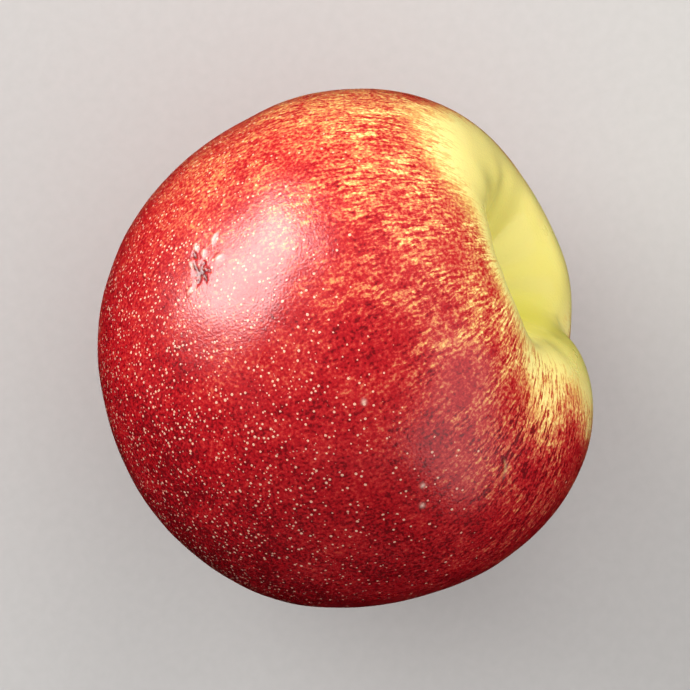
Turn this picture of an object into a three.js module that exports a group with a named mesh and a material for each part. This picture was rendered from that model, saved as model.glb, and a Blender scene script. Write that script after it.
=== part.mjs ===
// A ripe nectarine, picked and lying on its side: one smooth-skinned fruit with broad shoulders round a deep stem
// cavity, a suture groove that runs from the cavity to the blossom tip, and a small flat spot where it rests.
//
// Units are millimetres. +Z is up, +X is the horizontal heading of the stem end, and the origin is the middle of the
// flat spot. The fruit is first shaped upright in its own frame, where z is the core axis with the stem end up, x
// points to the suture and z = 0 is the widest circle. It is then tipped over on its side.
import * as THREE from "three";

const degrees = THREE.MathUtils.degToRad;

// Driving dimensions of the upright fruit.
const CHEEK_RADIUS = 35.5; // from the core axis out to a cheek
const SUTURE_RADIUS = 33.7; // from the core axis out to the suture, and to the back
const CREST_RADIUS = 14.5; // from the core axis to the top of the shoulder
const CREST_HEIGHT = 25.8; // the shoulder's top above the widest circle
const CAVITY_DEPTH = 10.5; // from the shoulder's top down to the scar that the stalk left
const SCAR_RADIUS = 2.6;
const BLOSSOM_DEPTH = 36.6; // the blossom end below the widest circle
const TIP_LENGTH = 0.7; // the small point that the flower left on the blossom end
const TIP_RADIUS = 4.5;

// How the outline bends. 2 is an ellipse, and more is squarer.
const SHOULDER_SQUARENESS = 1.95;
const BLOSSOM_SQUARENESS = 2.19;
const CAVITY_FLARE = 1.3; // 1 is a round bowl, and more is a funnel

// The shoulder isn't level: it rises and dips round the cavity, by so many millimetres at an angle from the suture.
const LOBE_ANGLE = degrees(-50);
const SHOULDER_WAVES = [
  { at: 0, halfWidth: degrees(22), rise: -2.5 }, // the suture's notch
  { at: LOBE_ANGLE, halfWidth: degrees(30), rise: 0.2 },
  { at: degrees(-98), halfWidth: degrees(21), rise: -1.3 }, // a soft dip across from the notch
  { at: degrees(124), halfWidth: degrees(50), rise: 0.3 }, // the full shoulder of the other cheek
];
const SHOULDER_SHARE = 0.2; // where the rises and dips are greatest, as a share of the way from scar to tip
const SHOULDER_REACH = 0.135; // and how far they spread to each side of it
const CAVITY_SHIFT = 2; // how far the cavity opens away from the lobe
const CAVITY_REACH = 0.2;
const CALM_SHARE = 0.95; // the cavity is calm: rises, dips and groove only reach full strength this near the crest

// The suture groove below the notch. It is shallowest half-way down.
const GROOVE_DEPTH = 0.9;
const GROOVE_HALF_WIDTH = 4;
const GROOVE_FADE = 0.45;
const GROOVE_WAIST = 0.55; // where it is shallowest, as a share of the way from scar to tip
const GROOVE_WAIST_REACH = 0.2;

// How the fruit lies.
const STEM_LIFT = degrees(17.8); // the stem end points this much above level
const SUTURE_DROP = degrees(53.3); // the suture lies this far below level, on the -Y side
const FLAT_SPOT_DEPTH = 1; // how far the flesh gives where the fruit rests

// The mesh: columns run from the stem to the tip, and rows go round the core axis.
const COLUMNS = 64;
const ROWS = 46;
const COLUMN_CROWDING = 0.4; // 0 spaces the columns evenly, and more moves them towards the suture
const OUTLINE_STEPS = 6; // points on each of the outline's three stretches

const MEAN_RADIUS = (CHEEK_RADIUS + SUTURE_RADIUS) / 2;
const QUARTER_TURN = Math.PI / 2;

// 1 in the middle, falling to nothing a few half-widths away.
const bell = (distance, halfWidth) => Math.exp(-((distance / halfWidth) ** 2));

// How far one angle is from another, between -pi and pi.
const angleBetween = (a, b) => Math.atan2(Math.sin(a - b), Math.cos(a - b));

// Points on a quarter of an oval with half-sizes 1, from its top towards its side, as [across, up].
function quarterOval(squareness) {
  return Array.from({ length: OUTLINE_STEPS }, (_, step) => {
    const turn = (step / OUTLINE_STEPS) * QUARTER_TURN;
    return [Math.sin(turn) ** (2 / squareness), Math.cos(turn) ** (2 / squareness)];
  });
}

// Half the fruit's outline, from the middle of the stalk scar over the shoulder to the blossom tip: (radius, height).
function outline() {
  const scarHeight = CREST_HEIGHT - CAVITY_DEPTH;
  const points = [[0, scarHeight]];
  for (let step = 0; step < OUTLINE_STEPS; step++) {
    const share = step / OUTLINE_STEPS;
    const climb = Math.sin(share * QUARTER_TURN) ** CAVITY_FLARE;
    points.push([THREE.MathUtils.lerp(SCAR_RADIUS, CREST_RADIUS, share), scarHeight + climb * CAVITY_DEPTH]);
  }
  for (const [across, up] of quarterOval(SHOULDER_SQUARENESS)) {
    points.push([THREE.MathUtils.lerp(CREST_RADIUS, MEAN_RADIUS, across), up * CREST_HEIGHT]);
  }
  for (const [across, up] of quarterOval(BLOSSOM_SQUARENESS)) {
    points.push([up * MEAN_RADIUS, -across * BLOSSOM_DEPTH]);
  }
  points.push([0, -BLOSSOM_DEPTH]);
  return new THREE.SplineCurve(points.map(([radius, height]) => new THREE.Vector2(radius, height)));
}

// How wide the fruit is at an angle from the suture, against its mean: an oval, seen along the core axis.
function ovalWidth(angle) {
  const span = Math.hypot(CHEEK_RADIUS * Math.cos(angle), SUTURE_RADIUS * Math.sin(angle));
  return (CHEEK_RADIUS * SUTURE_RADIUS) / span / MEAN_RADIUS;
}

// How far the shoulder stands above its mean at an angle from the suture.
function shoulderRise(angle) {
  const rises = SHOULDER_WAVES.map((wave) => wave.rise * bell(angleBetween(angle, wave.at), wave.halfWidth));
  return rises.reduce((sum, rise) => sum + rise, 0);
}

// How deep the suture groove is at a place on the skin.
function grooveDepth(share, radius, angle) {
  if (Math.cos(angle) < 0) {
    return 0;
  }
  const halfway = bell(share - GROOVE_WAIST, GROOVE_WAIST_REACH);
  return GROOVE_DEPTH * (1 - GROOVE_FADE * halfway) * bell(radius * Math.sin(angle), GROOVE_HALF_WIDTH);
}

// A point of the upright fruit: share runs from 0 at the scar to 1 at the tip, and angle goes round from the suture.
function skinPoint(curve, share, angle) {
  const at = curve.getPointAt(share);
  const along = curve.getTangentAt(share);
  const outward = new THREE.Vector2(-along.y, along.x);

  const offAxis = THREE.MathUtils.smoothstep(at.x, SCAR_RADIUS, CALM_SHARE * CREST_RADIUS);
  const waves = shoulderRise(angle) * bell(share - SHOULDER_SHARE, SHOULDER_REACH);
  at.addScaledVector(outward, offAxis * (waves - grooveDepth(share, at.x, angle)));

  const onBlossomEnd = at.y < 0 ? 1 : 0;
  const tip = onBlossomEnd * TIP_LENGTH * bell(at.x, TIP_RADIUS);
  const radius = at.x * ovalWidth(angle);
  const shift = CAVITY_SHIFT * bell(share, CAVITY_REACH);
  const x = radius * Math.cos(angle) - shift * Math.cos(LOBE_ANGLE);
  const y = radius * Math.sin(angle) - shift * Math.sin(LOBE_ANGLE);
  return new THREE.Vector3(x, y, at.y - tip);
}

// The upright fruit, made from a sphere's grid so that its surface is closed.
function uprightFruit() {
  const curve = outline();
  const geometry = new THREE.SphereGeometry(1, COLUMNS, ROWS);
  const position = geometry.getAttribute("position");
  const uv = geometry.getAttribute("uv");
  for (let i = 0; i < position.count; i++) {
    const even = (uv.getX(i) - 0.5) * 2 * Math.PI;
    const angle = even - COLUMN_CROWDING * Math.sin(even);
    const point = skinPoint(curve, 1 - uv.getY(i), angle);
    position.setXYZ(i, point.x, point.y, point.z);
  }
  return geometry;
}

// Tips the upright fruit over: the suture is turned down and towards -Y, then the stem end swings down to +X.
function tippedOver(geometry) {
  const turn = new THREE.Matrix4().makeRotationZ(SUTURE_DROP - QUARTER_TURN);
  const layDown = new THREE.Matrix4().makeRotationY(QUARTER_TURN - STEM_LIFT);
  return geometry.applyMatrix4(layDown.multiply(turn));
}

// Presses the lowest skin flat and moves the fruit so that the middle of the flat spot is the origin.
function restOnTable(geometry) {
  geometry.computeBoundingBox();
  const table = geometry.boundingBox.min.z + FLAT_SPOT_DEPTH;
  const position = geometry.getAttribute("position");
  const spot = new THREE.Box2();
  for (let i = 0; i < position.count; i++) {
    if (position.getZ(i) <= table) {
      position.setZ(i, table);
      spot.expandByPoint(new THREE.Vector2(position.getX(i), position.getY(i)));
    }
  }
  const middle = spot.getCenter(new THREE.Vector2());
  return geometry.translate(-middle.x, -middle.y, -table);
}

const skin = new THREE.MeshStandardMaterial({ color: 0xb3202a, roughness: 0.35, metalness: 0 });
const nectarine = new THREE.Mesh(restOnTable(tippedOver(uprightFruit())), skin);
nectarine.name = "nectarine";

const part = new THREE.Group();
part.add(nectarine);

export default part;
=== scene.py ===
# %% [markdown]
# # A ripe nectarine on a pale table
#
# A nectarine is a peach without the down. Its skin is thin, taut and waxy, so almost all of its character is in three
# things: the soft swelling of the flesh round the stem cavity, the way the red blush breaks up over a yellow ground,
# and the sheen of the wax. This lesson takes the fruit's solid, smooths it into a fine skin, paints the broad zones of
# colour on that skin, and lets a node material add the streaks and specks that are too fine to paint.

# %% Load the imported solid
import math

import bmesh
import bpy
import numpy as np
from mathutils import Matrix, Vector, noise


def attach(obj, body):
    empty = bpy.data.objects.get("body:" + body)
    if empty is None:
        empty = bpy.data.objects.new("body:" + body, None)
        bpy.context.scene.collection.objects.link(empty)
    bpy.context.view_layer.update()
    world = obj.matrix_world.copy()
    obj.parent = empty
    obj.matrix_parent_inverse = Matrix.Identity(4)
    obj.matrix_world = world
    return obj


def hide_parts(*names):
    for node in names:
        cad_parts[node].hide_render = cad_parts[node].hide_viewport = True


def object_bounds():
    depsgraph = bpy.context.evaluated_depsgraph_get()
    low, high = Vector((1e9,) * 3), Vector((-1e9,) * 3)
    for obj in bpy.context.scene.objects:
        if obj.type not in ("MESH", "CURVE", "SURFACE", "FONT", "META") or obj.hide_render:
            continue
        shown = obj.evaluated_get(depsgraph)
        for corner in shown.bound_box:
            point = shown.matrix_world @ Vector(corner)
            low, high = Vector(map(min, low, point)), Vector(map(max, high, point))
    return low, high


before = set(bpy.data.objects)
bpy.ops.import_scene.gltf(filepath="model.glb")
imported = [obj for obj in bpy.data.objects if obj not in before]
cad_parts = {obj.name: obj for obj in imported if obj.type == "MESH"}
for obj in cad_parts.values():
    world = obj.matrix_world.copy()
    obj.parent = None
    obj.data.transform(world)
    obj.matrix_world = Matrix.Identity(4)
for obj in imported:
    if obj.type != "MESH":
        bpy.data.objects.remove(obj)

cad_low, cad_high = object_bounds()
MM = 0.001
print("the solid measures, in mm:", [round(side / MM, 1) for side in cad_high - cad_low])

# %% [markdown]
# ## The skin's mesh
#
# The solid is a plain mesh of flat triangles. The real skin has no flats, so a copy of it is rounded. The copy is
# merged first, because the solid is stored as loose triangles. Where many edges meet in one point the mesh has a pole,
# and this fruit has just two: the scar of the stalk and the blossom tip. They give the core axis, and everything that
# follows is measured from it. Pairs of triangles are then joined into four-sided faces, because Subdivision Surface
# rounds those more evenly.

# %% Merge the copy and find the core axis
shape = bmesh.new()
shape.from_mesh(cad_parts["nectarine"].data)
bmesh.ops.remove_doubles(shape, verts=shape.verts, dist=0.001 * MM)
poles = sorted(shape.verts, key=lambda corner: len(corner.link_edges))[-2:]  # the two with the most edges
stalk_scar = max((pole.co.copy() for pole in poles), key=lambda place: place.x)
blossom_tip = min((pole.co.copy() for pole in poles), key=lambda place: place.x)
core = (stalk_scar - blossom_tip).normalized()
print("the stalk scar is at", [round(x / MM, 1) for x in stalk_scar], "mm")

# %% Join the triangles and round the skin
bmesh.ops.join_triangles(
    shape,
    faces=shape.faces,
    angle_face_threshold=math.radians(30),
    angle_shape_threshold=math.radians(60),
)
for face in shape.faces:
    face.smooth = True
skin_mesh = bpy.data.meshes.new("nectarine_skin")
shape.to_mesh(skin_mesh)
shape.free()
nectarine = bpy.data.objects.new("nectarine_skin", skin_mesh)
bpy.context.scene.collection.objects.link(nectarine)

ROUNDING_LEVELS = 2
rounding = nectarine.modifiers.new("rounding", "SUBSURF")
rounding.levels = ROUNDING_LEVELS
rounding.render_levels = ROUNDING_LEVELS
rounded = nectarine.evaluated_get(bpy.context.evaluated_depsgraph_get())
skin_mesh = bpy.data.meshes.new_from_object(rounded)
nectarine.modifiers.clear()
nectarine.data = skin_mesh
print("the rounded skin has", len(skin_mesh.polygons), "faces")

# %% [markdown]
# ## Places on the fruit
#
# A grower finds a place on a fruit by two things: how far it is from the stem, and on which side it lies. The same two
# numbers are used here, as angles. `from_stem` is 0 at the stalk scar, about 30 degrees on the crest of the shoulder
# and 180 at the blossom tip. `around` is 0 on the side that faces up and grows towards the side that faces -Y.

# %% Measure every point of the skin
WIDEST = 36.6 * MM  # from the blossom tip to the widest circle, where the fruit's middle is
middle = blossom_tip + core * WIDEST
upward = (Vector((0, 0, 1)) - core * core.z).normalized()
sideways = core.cross(upward)
print("the fruit's middle is", round(middle.z / MM, 1), "mm above the table")


def place_on_fruit(from_stem, around):
    """The direction from the fruit's middle to a place on its skin. Both angles are in degrees."""
    tilt, turn = math.radians(from_stem), math.radians(around)
    level = upward * math.cos(turn) + sideways * math.sin(turn)
    return core * math.cos(tilt) + level * math.sin(tilt)


# %% [markdown]
# ## Small marks
#
# Wind rubs a fruit against its twigs, and a spell of rain can split its skin. Such marks heal to tan cork. They are
# less than a millimetre wide, finer than the mesh, so the faces under them are divided again before they are pressed
# in. The stalk scar is treated in the same way.

# %% Divide the faces under the marks
MARK_CUTS = 2
SPLIT_PLACE = place_on_fruit(103, -31)
SCRATCH_PLACE = place_on_fruit(62, 51)
PALE_DOTS = [place_on_fruit(77, 38), place_on_fruit(80, 42), place_on_fruit(78, 14)]
fine_places = [(SPLIT_PLACE, 6 * MM), (SCRATCH_PLACE, 3 * MM), (core, 7 * MM), (-core, 3.5 * MM)]
fine_places += [(dot, 1.2 * MM) for dot in PALE_DOTS]


def on_skin(mesh, direction):
    """The point of the mesh that lies in a direction from the fruit's middle."""
    return max((corner.co for corner in mesh.vertices), key=lambda co: (co - middle).normalized().dot(direction)).copy()


fine_spots = [(on_skin(skin_mesh, direction), reach) for direction, reach in fine_places]
shape = bmesh.new()
shape.from_mesh(skin_mesh)
fine_faces = [
    face
    for face in shape.faces
    if any((face.calc_center_median() - spot).length < reach for spot, reach in fine_spots)
]
fine_edges = list({edge for face in fine_faces for edge in face.edges})
bmesh.ops.subdivide_edges(shape, edges=fine_edges, cuts=MARK_CUTS, use_grid_fill=True)
shape.to_mesh(skin_mesh)
shape.free()
print("the skin now has", len(skin_mesh.polygons), "faces")

# %% Read the skin's points
points = np.empty(len(skin_mesh.vertices) * 3)
skin_mesh.vertices.foreach_get("co", points)
points = points.reshape(-1, 3)
outward = np.array([corner.vector for corner in skin_mesh.vertex_normals])
offset = points - np.array(middle)
height = offset @ np.array(core)
level = offset - np.outer(height, np.array(core))
radius = np.linalg.norm(level, axis=1)
from_stem = np.degrees(np.arctan2(radius, height))
around = np.degrees(np.arctan2(level @ np.array(sideways), level @ np.array(upward)))
print("points on the skin:", len(points))

# %% [markdown]
# ## Shaping the skin
#
# Each thing that shapes the skin gives a height in millimetres, and the heights are added and pushed out along the
# skin's own direction. The flesh swells unevenly by a quarter of a millimetre, which is what makes reflections on a
# fruit look alive. The suture is a fine crease, the wall of the cavity is faintly ribbed where the flesh grew round
# the stalk, and the stalk scar is a rough cup with a raised rim.

# %% Helpers for soft shapes


def bell(distance, half_width):
    """1 in the middle, falling softly to nothing a few half-widths away."""
    return np.exp(-((distance / half_width) ** 2))


def soft_step(values, start, end):
    """0 up to the start, 1 from the end on, and a smooth rise between them."""
    share = np.clip((values - start) / (end - start), 0, 1)
    return share * share * (3 - 2 * share)


def turn_between(angles, centre):
    """How far angles are from a centre, in degrees, between -180 and 180."""
    return (angles - centre + 180) % 360 - 180


def lumps(size, seed):
    """Smooth random heights between about -1 and 1, whose swellings are the given size apart."""
    shift = Vector((seed * 7.31, seed * 3.17, seed * 5.77))
    return np.array([noise.noise(Vector(point) / size + shift) for point in points])


# %% Swell the flesh and crease the suture
SUTURE_SIDE = 143.3  # degrees of `around`
swell = 0.22 * lumps(16 * MM, 1) + 0.07 * lumps(5 * MM, 2)
off_suture = radius * np.sin(np.radians(turn_between(around, SUTURE_SIDE))) / MM
suture_faces = np.abs(turn_between(around, SUTURE_SIDE)) < 90
crease = -0.22 * bell(off_suture, 0.9) * suture_faces * soft_step(from_stem, 22, 34)
print("the flesh swells by", round(swell.min(), 2), "to", round(swell.max(), 2), "mm")

# %% Rib the cavity and roughen the stalk scar
RIBS = 11
SCAR_RADIUS = 2.6  # this and the other lengths here are in millimetres
rib_wave = np.cos(np.radians(RIBS * around) + 2.2 * lumps(9 * MM, 3))
ribs = 0.13 * rib_wave * bell(from_stem - 20, 8)
from_scar = np.linalg.norm(points - np.array(on_skin(skin_mesh, core)), axis=1) / MM
scar_cup = -0.7 * bell(from_scar, 1.7) + 0.3 * bell(from_scar - SCAR_RADIUS, 0.45)
scar_cup += 0.18 * lumps(0.9 * MM, 4) * bell(from_scar, SCAR_RADIUS)
from_tip = np.linalg.norm(points - np.array(on_skin(skin_mesh, -core)), axis=1) / MM
tip_scar = 0.25 * bell(from_tip, 0.7) - 0.15 * bell(from_tip - 1.2, 0.4)
tip_scar += 0.08 * lumps(0.5 * MM, 5) * bell(from_tip, 1)
print("ribs, cup and tip are ready")

# %% Press in the marks
MARK_REACH = 8  # millimetres from a mark's middle, beyond which it can't show


def near(direction, heading=0):
    """Millimetres across the skin from a place, along and across a heading in degrees, and whether a point is near."""
    spot = on_skin(skin_mesh, direction)
    east = direction.cross(core).normalized()
    turn = math.radians(heading)
    along = (east * math.cos(turn) + direction.cross(east) * math.sin(turn)).normalized()
    across = direction.cross(along)
    gap = (points - np.array(spot)) / MM
    return gap @ np.array(along), gap @ np.array(across), np.linalg.norm(gap, axis=1) < MARK_REACH


def stroke(direction, heading, start, end, width, bend=0.0):
    """A groove's strength along a line on the skin, from start to end in millimetres, bowed sideways by bend."""
    along, across, is_near = near(direction, heading)
    share = np.clip((along - start) / (end - start), 0, 1)
    bowed = across - bend * 4 * share * (1 - share)
    past_end = along - np.clip(along, start, end)
    return is_near * bell(np.hypot(bowed, past_end), width * (0.45 + 0.55 * np.sin(np.pi * share)))


# each line of the split is a heading in degrees, and where it starts and ends in millimetres from the split's middle
SPLITS = [(20, 0, 2.0), (-40, 0, 1.5), (75, 0, 1.2), (140, 0, 1.8), (-160, 0, 1.7), (-105, 0.2, 1.5), (5, 2.6, 3.6)]
SPLIT_LIPS = [(-1, 3.6, 4.7), (-23, 2.4, 3.3), (-37, 4.3, 5.7), (-78, 2.6, 3.8), (28, 1.6, 2.7), (126, 2.2, 3.4)]
split = np.max([stroke(SPLIT_PLACE, *line, 0.27, bend=0.2) for line in SPLITS], axis=0)
split_lip = np.max([stroke(SPLIT_PLACE, *line, 0.36, bend=0.1) for line in SPLIT_LIPS], axis=0)
scratch = stroke(SCRATCH_PLACE, 130, -1.2, 1.2, 0.24, bend=0.35)
dots = sum(bell(np.hypot(*near(dot)[:2]), 0.3) * near(dot)[2] for dot in PALE_DOTS)
marks = -0.35 * split + 0.2 * split_lip - 0.1 * scratch + 0.05 * dots
print("lines in the split:", len(SPLITS) + len(SPLIT_LIPS), "and pale dots:", len(PALE_DOTS))

# %% Push the skin out
PRESSED_HEIGHT = 1.5 * MM  # the skin is held by the table where the fruit rests, and free this far above it
push = (swell + crease + ribs + scar_cup + tip_scar + marks) * MM * soft_step(points[:, 2], 0, PRESSED_HEIGHT)
points = np.clip(points + outward * push[:, None], np.array(cad_low), np.array(cad_high))
skin_mesh.vertices.foreach_set("co", points.ravel())
skin_mesh.update()
print("the skin moved by", round(push.min() / MM, 2), "to", round(push.max() / MM, 2), "mm")

# %% [markdown]
# ## Blocking in the colour
#
# The red of a nectarine is a dye that sunlight makes in the outermost cells, over flesh that stays yellow. It is
# missing in the cavity, which the sun doesn't reach, and it comes in gradually over the shoulder. How much red there
# is, how streaky it is and how many pale specks it has change slowly over the fruit, so they are painted on the mesh
# as attributes, as a painter blocks in broad zones before the detail.
# Three of the zones stand for light rather than skin: a painted reflection that thins the red to coral on one side,
# painted shade that darkens the cavity and the notch beside it, and painted highlights on the lips of the split.

# %% Paint the broad zones


def facing(centre, half_width):
    """1 along one meridian, falling softly to nothing on both sides of it. Both are in degrees of `around`."""
    return bell(turn_between(around, centre), half_width)


def past(start, end):
    """0 up to start degrees from the stem, and 1 from end degrees on."""
    return soft_step(from_stem, start, end)


def paint(name, values):
    """Stores one number for each point of the skin, for the material to read."""
    zone = skin_mesh.attributes.new(name, "FLOAT", "POINT")
    zone.data.foreach_set("value", np.asarray(values, np.float32))


SUNNY_SIDE = 3  # the side on which the red comes right up to the crest of the shoulder
RIPE_SIDE = 70  # the side on which the red is deepest
shade = soft_step(np.abs(turn_between(around, SUNNY_SIDE)), 20, 85)
far_side = facing(-136, 38)  # here the red comes up high again
painted_sheen_side = facing(-68, 38) * (1 - past(95, 130))  # painted reflection: here the red is thinned to coral, as where the wax mirrors a broad light

# how far from the stem the red begins, and how many degrees it takes to come in
blush_edge = 28.5 + 14.5 * shade - 10 * far_side + 3 * lumps(9 * MM, 6)
blush_edge += 4 * facing(54, 13) - 9 * facing(77, 15)  # yellow runs out over the dip, and red climbs the lobe
blush_fade = 9 + 7 * shade - 9 * far_side + 12 * facing(52, 17)
paint("blush", soft_step(from_stem, blush_edge - 0.4 * blush_fade, blush_edge + blush_fade))

ripeness = np.cos(np.radians(around - RIPE_SIDE))
depth_and_sheen = 0.66 + 0.13 * past(38, 80) + 0.1 * past(95, 140)
# the second term below is a painted reflection: it thins the red towards coral on the side at -68 degrees
depth_and_sheen += 0.13 * ripeness * past(30, 60) - 0.1 * painted_sheen_side * past(50, 75)
depth_and_sheen -= 0.1 * facing(20, 30) * (1 - past(36, 52))  # the red is thin where it meets the shoulder's crest
paint("depth_and_sheen", depth_and_sheen)

streaks_end = 95 + 25 * painted_sheen_side + 30 * facing(88, 30)
paint("streaky", soft_step(from_stem, blush_edge - 10, blush_edge) * (1 - 0.9 * past(55, streaks_end)))
paint("pepper", facing(56, 17) * past(28, 36) * (1 - past(54, 72)))
few_specks = 0.4 * painted_sheen_side + 0.75 * facing(75, 38) * (1 - past(110, 140))
paint("specked", 0.85 * past(55, 115) * (1 - few_specks))
# painted shade: the first term is the greenish ground round the stalk, widened into painted shade down the cavity wall;
# the second is painted shade in the notch beside the lobe
paint("green_and_cavity_shade", bell(from_stem, 27) + 0.4 * facing(125, 42) * bell(from_stem - 27, 12))
paint("cork", np.clip(bell(from_scar, 2.2) + bell(from_tip, 0.9) + 0.7 * scratch, 0, 1))
paint("split", split)
# the pale dots are the skin's own colour; the pale on the split's lips is a painted highlight, where the ridges catch
# the light
paint("pale", np.clip(dots + 0.7 * split_lip, 0, 1))

# %% Paint the streaks' direction
SKIN_RADIUS = 34  # millimetres, so that an angle on the skin becomes a length
turned = np.radians(around)
flow = SKIN_RADIUS * np.stack([np.cos(turned), np.sin(turned), np.radians(from_stem)], axis=1)
meridian = skin_mesh.attributes.new("meridian", "FLOAT_VECTOR", "POINT")
meridian.data.foreach_set("vector", flow.astype(np.float32).ravel())
print("painted", [zone.name for zone in skin_mesh.attributes if zone.domain == "POINT"])

# %% [markdown]
# ## The skin's material
#
# The material works as the skin does. It starts from the yellow ground, decides how much red dye there is at each
# point, and turns that amount into a colour. Streaks and specks are places where the dye is thin, so they are taken
# away from its amount and the colours between red and yellow come by themselves. Sizes are real ones: a streak is
# about a third of a millimetre wide and one or two long, and a speck is a few tenths of a millimetre across.

# %% Helpers for colours and nodes


def linear(hex_colour):
    """An sRGB hex colour as the linear numbers that a shader wants."""
    channels = [int(hex_colour[i : i + 2], 16) / 255 for i in (1, 3, 5)]
    return [c / 12.92 if c <= 0.04045 else ((c + 0.055) / 1.055) ** 2.4 for c in channels] + [1]


def add(tree, kind, sockets=None, **settings):
    """Adds a node, changes its settings, and gives each socket a value or another node's output."""
    new = tree.nodes.new("ShaderNode" + kind)
    for name, value in settings.items():
        setattr(new, name, value)
    for name, value in (sockets or {}).items():
        if isinstance(value, bpy.types.NodeSocket):
            tree.links.new(value, new.inputs[name])
        else:
            new.inputs[name].default_value = value
    return new


# %% Start the skin material
waxy_skin = bpy.data.materials.new("waxy_nectarine_skin")
waxy_skin.use_nodes = True
tree = waxy_skin.node_tree
tree.nodes.clear()
place = add(tree, "TexCoord").outputs["Object"]
zones = {
    name: add(tree, "Attribute", attribute_name=name).outputs["Fac"]
    for name in ("blush", "depth_and_sheen", "streaky", "pepper", "specked", "green_and_cavity_shade", "cork", "split", "pale")
}
meridian_place = add(tree, "Attribute", attribute_name="meridian").outputs["Vector"]
A_TO_MIX, B_TO_MIX = 6, 7  # the colour sockets of a Mix node
print("the material reads", list(zones))

# %% [markdown]
# Streaks follow the meridians from stem to tip, but not like ruled lines. Their place is shaken a little by a softer
# noise first, and then the noise that draws them is stretched: fine across the meridian and long along it. Where the
# yellow runs out over the dip, the same noise also leaves dark red flecks.

# %% Streaks
STREAK_WIDTH = 0.62  # millimetres from one streak to the next, so that the streak itself is half as wide
STREAK_LENGTH = 2.6  # millimetres from the start of one streak to the start of the next on the same meridian
WAVER = 1.5  # millimetres, the most that a streak is shaken
waver = add(tree, "TexNoise", {"Vector": place, "Scale": 1 / (1.6 * MM), "Detail": 3.0, "Roughness": 0.6})
centred = add(tree, "VectorMath", {0: waver.outputs["Color"], 1: (0.5, 0.5, 0.5)}, operation="SUBTRACT")
shaken = add(
    tree,
    "VectorMath",
    {0: centred.outputs[0], 1: (WAVER, WAVER, WAVER), 2: meridian_place},
    operation="MULTIPLY_ADD",
)
stretched = add(
    tree,
    "VectorMath",
    {0: shaken.outputs[0], 1: (1 / STREAK_WIDTH, 1 / STREAK_WIDTH, 1 / STREAK_LENGTH)},
    operation="MULTIPLY",
)
dashes = add(tree, "TexNoise", {"Vector": stretched.outputs[0], "Scale": 1.0, "Detail": 2.5, "Roughness": 0.65})
thinning = add(
    tree,
    "MapRange",
    {"Value": dashes.outputs["Fac"], "From Min": 0.36, "From Max": 0.64, "To Min": 0.16, "To Max": -0.42},
)
crowds = add(tree, "TexNoise", {"Vector": place, "Scale": 1 / (6 * MM), "Detail": 3.0})
crowding = add(tree, "MapRange", {"Value": crowds.outputs["Fac"], "From Min": 0.38, "From Max": 0.6, "To Min": 0.35})
streak_zone = add(tree, "Math", {0: zones["streaky"], 1: crowding.outputs[0]}, operation="MULTIPLY")
streaks = add(tree, "Math", {0: thinning.outputs[0], 1: streak_zone.outputs[0]}, operation="MULTIPLY")
flecks = add(tree, "MapRange", {"Value": dashes.outputs["Fac"], "From Min": 0.47, "From Max": 0.4, "To Max": 0.38})
peppered = add(
    tree,
    "Math",
    {0: flecks.outputs[0], 1: zones["pepper"], 2: streaks.outputs[0]},
    operation="MULTIPLY_ADD",
)
print("streaks come every", STREAK_WIDTH, "mm across the meridians and every", STREAK_LENGTH, "mm along them")

# %% [markdown]
# Specks are the skin's breathing pores. They are densest towards the blossom tip, and no two are the same size. A
# Voronoi pattern scatters points through space, and the skin cuts through the little ball round each one.

# %% Specks
SPECK_SPACING = 0.58 * MM
pores = add(tree, "TexVoronoi", {"Vector": place, "Scale": 1 / SPECK_SPACING})
pore_kind = add(tree, "SeparateColor", {0: pores.outputs["Color"]})
pore_size = add(tree, "MapRange", {"Value": pore_kind.outputs[0], "To Min": 0.12, "To Max": 0.4})
pore_edge = add(tree, "Math", {0: pore_size.outputs[0], 1: pores.outputs["Distance"]}, operation="SUBTRACT")
pore = add(tree, "MapRange", {"Value": pore_edge.outputs[0], "From Max": 0.09})
pore_chance = add(tree, "Math", {0: zones["specked"], 1: pore_kind.outputs[1]}, operation="GREATER_THAN")
specks = add(tree, "Math", {0: pore.outputs[0], 1: pore_chance.outputs[0]}, operation="MULTIPLY")
print("specks are about", round(SPECK_SPACING / MM, 2), "mm apart where they are densest")

# %% [markdown]
# The amount of dye is the painted blush, made cloudy at two sizes, less the streaks and the specks. A colour ramp
# turns it into colour: the ground shows through thin dye as orange, and thick dye is crimson.

# %% Dye and colour
clouds = add(tree, "TexNoise", {"Vector": place, "Scale": 1 / (8 * MM), "Detail": 5.0, "Roughness": 0.68})
cloudy = add(
    tree,
    "MapRange",
    {"Value": clouds.outputs["Fac"], "From Min": 0.3, "From Max": 0.7, "To Min": -0.18, "To Max": 0.12},
)
grain = add(tree, "TexNoise", {"Vector": place, "Scale": 1 / (0.45 * MM), "Detail": 1.5})
grainy = add(
    tree,
    "MapRange",
    {"Value": grain.outputs["Fac"], "From Min": 0.3, "From Max": 0.7, "To Min": -0.21, "To Max": 0.19},
)
full = add(tree, "Math", {0: zones["blush"], 1: zones["depth_and_sheen"]}, operation="MULTIPLY")
clouded = add(tree, "Math", {0: cloudy.outputs[0], 1: zones["blush"], 2: full.outputs[0]}, operation="MULTIPLY_ADD")
grained = add(tree, "Math", {0: grainy.outputs[0], 1: zones["blush"], 2: clouded.outputs[0]}, operation="MULTIPLY_ADD")
streaked = add(tree, "Math", {0: grained.outputs[0], 1: peppered.outputs[0]}, operation="ADD")
dye = add(tree, "Math", {0: specks.outputs[0], 1: -0.25, 2: streaked.outputs[0]}, operation="MULTIPLY_ADD")

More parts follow.
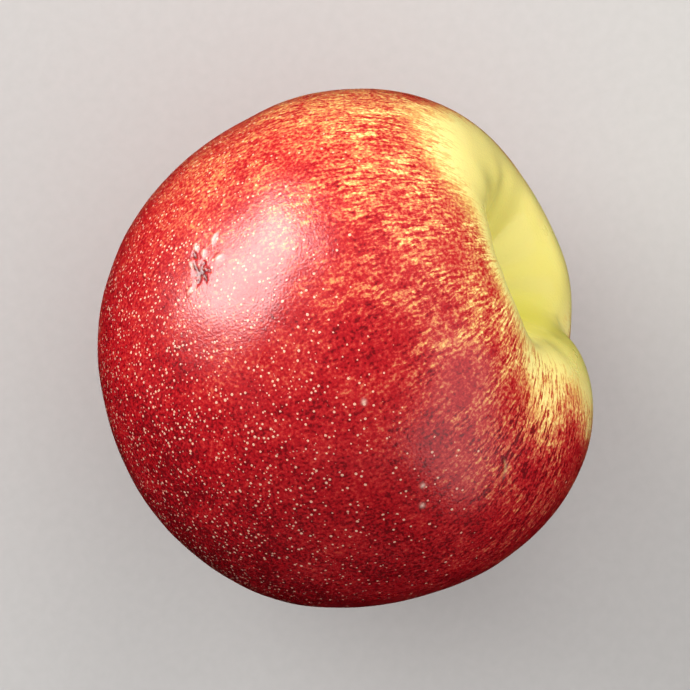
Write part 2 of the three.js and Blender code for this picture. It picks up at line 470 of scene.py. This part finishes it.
DYE_COLOURS = [
    (0.0, "#FCEC98"),
    (0.15, "#F0C878"),
    (0.3, "#DC9656"),
    (0.45, "#CA6646"),
    (0.6, "#BE2E29"),
    (0.75, "#AC0D18"),
    (0.88, "#9A0412"),
    (1.0, "#6E020B"),
]
dyed = add(tree, "ValToRGB", {"Fac": dye.outputs[0]})
stops = dyed.color_ramp.elements
while len(stops) < len(DYE_COLOURS):
    stops.new(0.5)
for stop, (amount, colour) in zip(stops, DYE_COLOURS):
    stop.position = amount
    stop.color = linear(colour)
print("colours from no dye to full dye:", [colour for _, colour in DYE_COLOURS])

# %% Greener ground with painted cavity shade, pale specks, pale marks with painted highlights, cork
no_dye = add(tree, "Math", {0: 1.0, 1: zones["blush"]}, operation="SUBTRACT")
greening_and_cavity_shade = add(tree, "Math", {0: no_dye.outputs[0], 1: zones["green_and_cavity_shade"]}, operation="MULTIPLY")
# the olive colour is the ground's own green near the stalk, and painted shade deeper in the cavity and in the notch
ground = add(
    tree,
    "Mix",
    {0: greening_and_cavity_shade.outputs[0], A_TO_MIX: dyed.outputs[0], B_TO_MIX: linear("#C2BC3C")},
    data_type="RGBA",
)
cream = linear("#E8C3A8")
speck_show = add(tree, "Math", {0: specks.outputs[0], 1: 0.75}, operation="MULTIPLY")
specked = add(tree, "Mix", {0: speck_show.outputs[0], A_TO_MIX: ground.outputs[2], B_TO_MIX: cream}, data_type="RGBA")
# on the dots this pale colour is their own; on the split's lips it is a painted highlight
pale_mark_and_highlight = linear("#E6BFAE")
paled = add(tree, "Mix", {0: zones["pale"], A_TO_MIX: specked.outputs[2], B_TO_MIX: pale_mark_and_highlight}, data_type="RGBA")
sore = linear("#4E0A10")
torn = add(tree, "Mix", {0: zones["split"], A_TO_MIX: paled.outputs[2], B_TO_MIX: sore}, data_type="RGBA")
cork_grain = add(tree, "TexNoise", {"Vector": place, "Scale": 1 / (0.4 * MM), "Detail": 3.0})
cork_colour = add(
    tree,
    "Mix",
    {0: cork_grain.outputs["Fac"], A_TO_MIX: linear("#8A6536"), B_TO_MIX: linear("#CDA873")},
    data_type="RGBA",
)
colour = add(
    tree,
    "Mix",
    {0: zones["cork"], A_TO_MIX: torn.outputs[2], B_TO_MIX: cork_colour.outputs[2]},
    data_type="RGBA",
)
print("layers of colour: ground, specks, pale marks, split, cork")

# %% [markdown]
# The wax is what makes the light on the fruit broad and soft. The skin has a leathery grain of about a third of a
# millimetre, too shallow to see as shape, that breaks the edge of each reflection. Cork has no wax, so it is dull.

# %% Wax, grain and light under the skin
PEBBLE_WIDTH = 0.32 * MM
PEBBLE_HEIGHT = 0.07 * MM
pebble = add(tree, "TexNoise", {"Vector": place, "Scale": 1 / PEBBLE_WIDTH, "Detail": 1.0})
raised = add(tree, "Math", {0: specks.outputs[0], 1: 0.35, 2: pebble.outputs["Fac"]}, operation="MULTIPLY_ADD")
relief = add(tree, "Bump", {"Height": raised.outputs[0], "Strength": 0.6, "Distance": PEBBLE_HEIGHT})
smears = add(tree, "TexNoise", {"Vector": place, "Scale": 1 / (6 * MM), "Detail": 3.0})
waxed = add(
    tree,
    "MapRange",
    {"Value": smears.outputs["Fac"], "From Min": 0.3, "From Max": 0.7, "To Min": 0.27, "To Max": 0.34},
)
dulled = add(tree, "Math", {0: zones["cork"], 1: 0.4, 2: waxed.outputs[0]}, operation="MULTIPLY_ADD")
skin_shader = add(
    tree,
    "BsdfPrincipled",
    {
        "Base Color": colour.outputs[2],
        "Roughness": dulled.outputs[0],
        "IOR": 1.5,
        "Normal": relief.outputs[0],
        "Coat Weight": 0.75,
        "Coat Roughness": 0.18,
        "Coat Normal": relief.outputs[0],
        "Subsurface Weight": 0.12,
        "Subsurface Radius": (1.0, 0.35, 0.15),
        "Subsurface Scale": 2 * MM,
    },
)
add(tree, "OutputMaterial", {0: skin_shader.outputs[0]})
skin_mesh.materials.clear()
skin_mesh.materials.append(waxy_skin)
print("the skin material has", len(tree.nodes), "nodes")

# %% Tell the frame what the skin stands for
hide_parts("nectarine")
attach(nectarine, "root")
print("the skin stands for the whole fruit")

# %% [markdown]
# ## The table
#
# The table is a wide sheet of pale matt laminate. It runs far past the fruit, so that it still looks endless when the
# camera comes down to table height, and the sky behind it is the same pale grey.

# %% Lay the table
TABLE_REACH = 6.0  # metres
shape = bmesh.new()
bmesh.ops.create_grid(shape, x_segments=8, y_segments=8, size=TABLE_REACH)
table_mesh = bpy.data.meshes.new("table")
shape.to_mesh(table_mesh)
shape.free()
table = bpy.data.objects.new("table", table_mesh)
bpy.context.scene.collection.objects.link(table)
table.visible_glossy = False  # a bright table mirrored in the wax would wash out the deep reds

matt_laminate = bpy.data.materials.new("matt_pale_laminate")
matt_laminate.use_nodes = True
tree = matt_laminate.node_tree
tree.nodes.clear()
table_place = add(tree, "TexCoord").outputs["Object"]
fibre = add(tree, "TexNoise", {"Vector": table_place, "Scale": 1 / (1.5 * MM), "Detail": 4.0})
paper = add(
    tree,
    "Mix",
    {0: fibre.outputs["Fac"], A_TO_MIX: linear("#B0B0AF"), B_TO_MIX: linear("#B8B8B7")},
    data_type="RGBA",
)
laminate = add(tree, "BsdfPrincipled", {"Base Color": paper.outputs[2], "Roughness": 0.7})
add(tree, "OutputMaterial", {0: laminate.outputs[0]})
table_mesh.materials.append(matt_laminate)
print("the table reaches", TABLE_REACH, "m each way")

# %% [markdown]
# ## The camera
#
# The camera looks straight down with a long lens, which hardly changes the fruit's outline. It is turned so that the
# stem end points to the right and a little up.

# %% Hang the camera over the table
VIEW_TURN = math.radians(23)
VIEW_CENTRE = (-0.5 * MM, 0.2 * MM)
VIEW_WIDTH = 93.8 * MM  # at the height of the fruit's middle
CAMERA_HEIGHT = 1.2  # metres
SENSOR = 36.0  # millimetres
right = Vector((math.cos(VIEW_TURN), -math.sin(VIEW_TURN), 0))
up = Vector((math.sin(VIEW_TURN), math.cos(VIEW_TURN), 0))
camera_data = bpy.data.cameras.new("long_lens")
camera_data.sensor_width = SENSOR
camera_data.lens = SENSOR * (CAMERA_HEIGHT - middle.z) / VIEW_WIDTH
camera_data.clip_start = 0.01
camera_data.clip_end = 30
camera = bpy.data.objects.new("camera", camera_data)
bpy.context.scene.collection.objects.link(camera)
camera.location = Vector((*VIEW_CENTRE, CAMERA_HEIGHT))
camera.rotation_euler = (0, 0, -VIEW_TURN)
bpy.context.scene.camera = camera
print("the lens is", round(camera_data.lens), "mm long")

# %% [markdown]
# ## The light
#
# A studio lights a fruit with large soft boxes. The main one stands low on the upper left and gives the bright patch
# on the fruit's back. A weaker one on the lower right lays a faint haze on the wax. A side fill lifts the yellow
# shoulder and the cavity, and a wide pale ceiling lights the table evenly, as far as it runs. Those two aren't mirrored
# in the wax, and neither are the sky and the table, because a pale ring of reflections would wash out the deep reds.
# Directions are given as seen by the camera: right, up and towards it.

# %% Place the soft boxes


def soft_box(name, direction, distance, width, height, power, tint):
    """An area light that shines on the fruit from a direction, and isn't seen itself."""
    light = bpy.data.lights.new(name, "AREA")
    light.shape = "RECTANGLE"
    light.size = width
    light.size_y = height
    light.energy = power
    light.color = linear(tint)[:3]
    box = bpy.data.objects.new(name, light)
    bpy.context.scene.collection.objects.link(box)
    x, y, z = direction
    heading = (right * x + up * y + Vector((0, 0, z))).normalized()
    box.location = Vector((0, 0, middle.z)) + heading * distance
    box.rotation_euler = heading.to_track_quat("Z", "Y").to_euler()
    box.visible_camera = False
    return box


soft_box("main_soft_box", (-0.73, 0.575, 0.37), 1.6, 1.4, 0.98, 37.5, "#FFFAF7")
soft_box("lower_soft_box", (0.8, -0.36, 0.5), 1.2, 1.5, 1.2, 4.5, "#FFF9F9")
side_fill = soft_box("side_fill", (0.5, 0.74, 0.45), 1.2, 1.4, 1.4, 14.0, "#FFFBF6")
side_fill.visible_glossy = False
ceiling = soft_box("pale_ceiling", (0, 0, 1), 5.0, 16.0, 16.0, 480.0, "#FFFDFB")
ceiling.visible_glossy = False

# %% [markdown]
# The sky is a plain grey, close to the far table's at the horizon, so that no hard line shows between them. It darkens
# only below the horizon, where the table hides it.

# %% Paint the sky
FAR_TABLE = 0.08  # where the far table's grey stands on the way from below the horizon to overhead
world = bpy.data.worlds.new("pale_studio")
bpy.context.scene.world = world
world.use_nodes = True
world.cycles_visibility.glossy = False  # only the soft boxes are mirrored in the wax
tree = world.node_tree
tree.nodes.clear()
heading = add(tree, "SeparateXYZ", {0: add(tree, "TexCoord").outputs["Generated"]})
overhead = add(tree, "MapRange", {"Value": heading.outputs["Z"], "From Min": -0.12, "From Max": 0.6})
sky = add(tree, "ValToRGB", {"Fac": overhead.outputs[0]})
sky.color_ramp.elements[0].color = linear("#181818")
sky.color_ramp.elements[1].color = linear("#7C7C7D")
backdrop = sky.color_ramp.elements.new(FAR_TABLE)
backdrop.color = linear("#90908F")
glow = add(tree, "Background", {"Color": sky.outputs[0], "Strength": 1.0})
add(tree, "OutputWorld", {0: glow.outputs[0]})
bpy.context.scene.view_settings.view_transform = "Standard"
print("the sky has", len(sky.color_ramp.elements), "greys")
